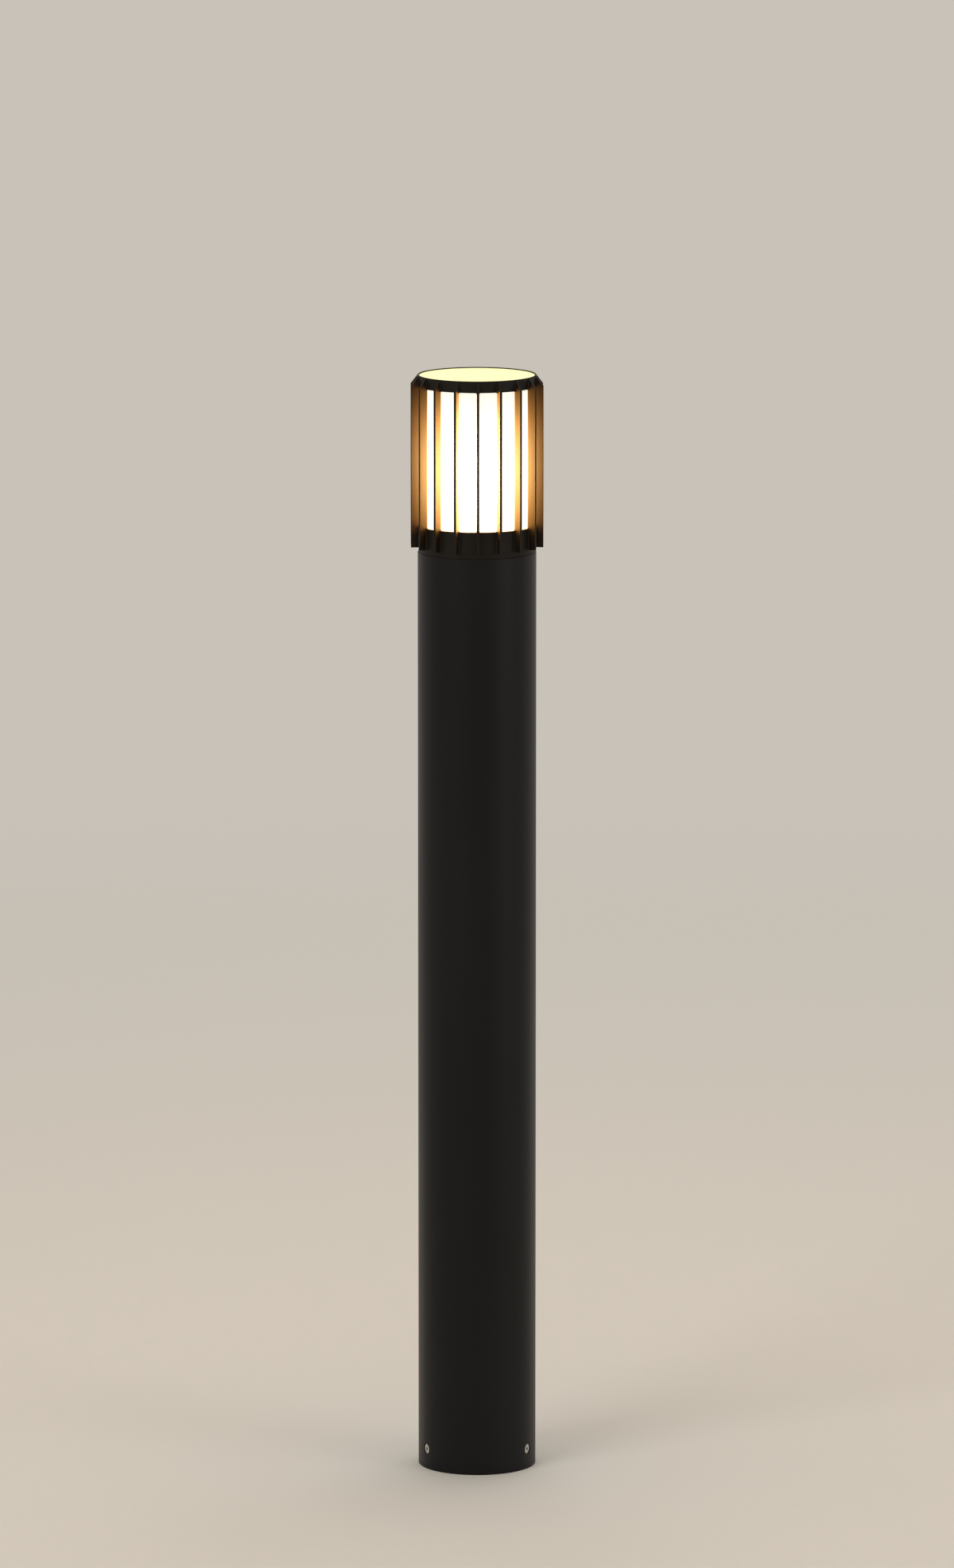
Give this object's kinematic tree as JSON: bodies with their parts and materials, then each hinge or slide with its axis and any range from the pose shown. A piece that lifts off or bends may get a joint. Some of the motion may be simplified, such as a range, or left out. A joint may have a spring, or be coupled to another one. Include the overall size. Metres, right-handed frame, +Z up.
{
  "type": "bollard light",
  "caption": "Outdoor bollard light: straight round black post, and a lantern head of the same diameter with upright fins round a glowing opal cup.",
  "frame": {"origin": "centre of the post's foot, on the ground", "axes": "+Z up along the post, -Y to the front, +X to the right seen from the front"},
  "size_m": [0.1208, 0.122, 1.012],
  "materials": {
    "post_paint": "satin near-black powder coat",
    "head_paint": "satin near-black powder coat",
    "cast_aluminium": "sand-cast, bare",
    "stainless": "bare stainless",
    "black_oxide": "black oxide",
    "zinc_steel": "zinc plated",
    "rubber": "matt",
    "silicone": "translucent white",
    "opal": "opal, lit from inside",
    "block_plastic": "off-white",
    "holder_plastic": "white thermoplastic",
    "holder_ceramic": "glazed ceramic",
    "brass": "bare brass",
    "nickel": "nickel plated",
    "insulator": "black insulator",
    "lamp_housing": "white",
    "lamp_glow": "opal, lit",
    "lead_brown": "smooth insulation",
    "lead_blue": "smooth insulation",
    "lead_green": "green and yellow insulation"
  },
  "bodies": {
    "post": {"post_tube": "post_paint", "head_spigot": "head_paint", "base_socket": "cast_aluminium", "side_screws": "stainless", "spigot_screws": "stainless", "lamp_bracket": "zinc_steel", "gear_tray": "zinc_steel", "bracket_screws": "zinc_steel", "block_screws": "zinc_steel", "terminal_screws": "zinc_steel", "earth_screw": "zinc_steel", "earth_lug": "zinc_steel", "holder_nut": "zinc_steel", "cable_grommet": "rubber", "head_seal": "rubber", "terminal_block": "block_plastic", "holder_cap": "holder_plastic", "holder_skirt": "holder_plastic", "holder_insert": "holder_ceramic", "terminal_sleeves": "brass", "holder_nipple": "brass", "holder_shell": "brass", "holder_contact": "brass", "lamp_cap": "nickel", "lamp_contact": "insulator", "lamp_body": "lamp_housing", "lamp_globe": "lamp_glow", "live_lead": "lead_brown", "neutral_lead": "lead_blue", "earth_lead": "lead_green"},
    "head": {"louvre_cage": "head_paint", "diffuser_gasket": "silicone", "diffuser_cup": "opal", "set_screws": "black_oxide"}
  },
  "joints": [
    {"name": "head_lift", "type": "slide", "parent": "post", "child": "head", "axis": [0, 0, 1], "range_m": [0, 0.16]}
  ]
}
